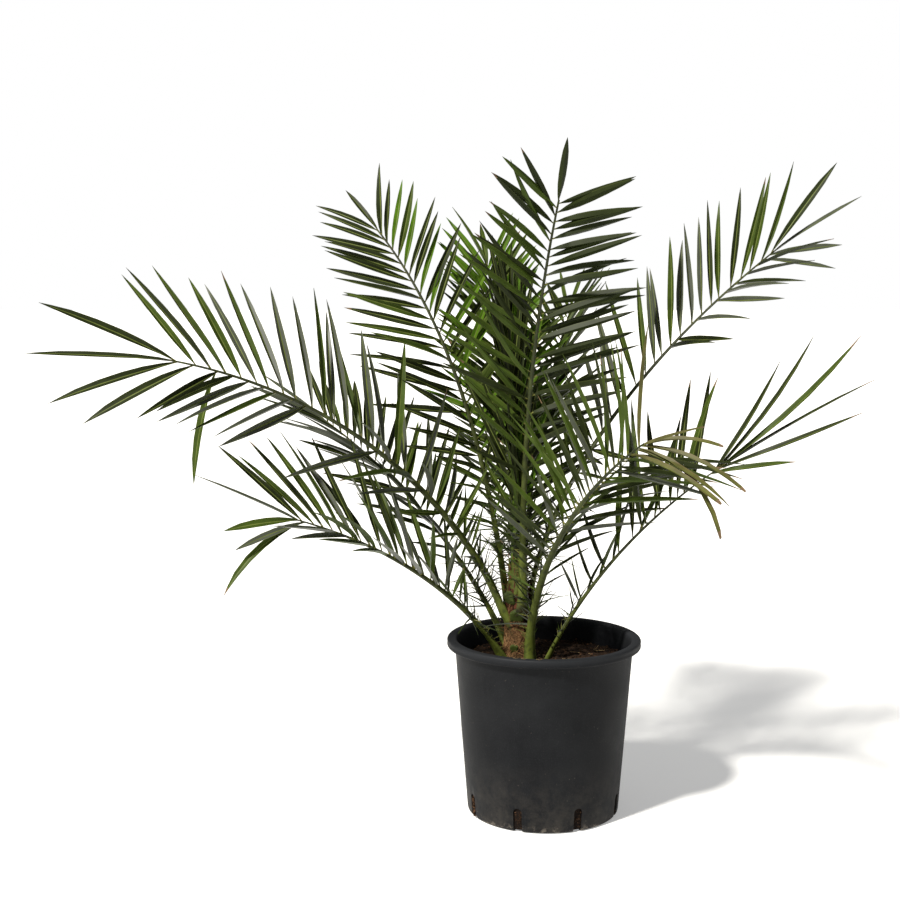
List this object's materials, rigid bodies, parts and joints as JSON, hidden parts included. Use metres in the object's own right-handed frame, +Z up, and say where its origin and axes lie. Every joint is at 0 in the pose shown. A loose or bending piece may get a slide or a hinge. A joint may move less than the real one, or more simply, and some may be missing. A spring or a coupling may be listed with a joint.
{
  "type": "potted canary island date palm",
  "caption": "Young date palm with arching feather fronds, a central spear leaf and a short fibrous trunk, standing in a round black nursery pot filled with potting mix.",
  "frame": {"origin": "middle of the pot's flat underside, which stands on the floor", "axes": "+Z up; -Y towards the side with the tall front frond; +X to the right of that view"},
  "size_m": [1.3879, 0.9273, 1.1235],
  "materials": {
    "pot": "matt black moulded plastic",
    "mix": "damp dark potting mix",
    "trunk": "brown fibre",
    "stump": "green cut leaf base",
    "leaf": "dark green leaflets on yellow-green midribs",
    "spear": "bright young green"
  },
  "bodies": {
    "root": {"pot": "pot", "potting_mix": "mix", "trunk": "trunk", "cut_leaf_base_1": "stump", "cut_leaf_base_2": "stump", "cut_leaf_base_3": "stump", "cut_leaf_base_4": "stump", "cut_leaf_base_5": "stump", "cut_leaf_base_6": "stump", "spear_leaf": "spear", "frond_front_tall": "leaf", "frond_front_arching": "leaf", "frond_left_long": "leaf", "frond_left_low": "leaf", "frond_right_upper": "leaf", "frond_right_low": "leaf", "frond_back_left_tall": "leaf", "frond_back_young": "leaf", "frond_back_right": "leaf", "frond_back_left_low": "leaf", "frond_back_low": "leaf"}
  },
  "joints": []
}
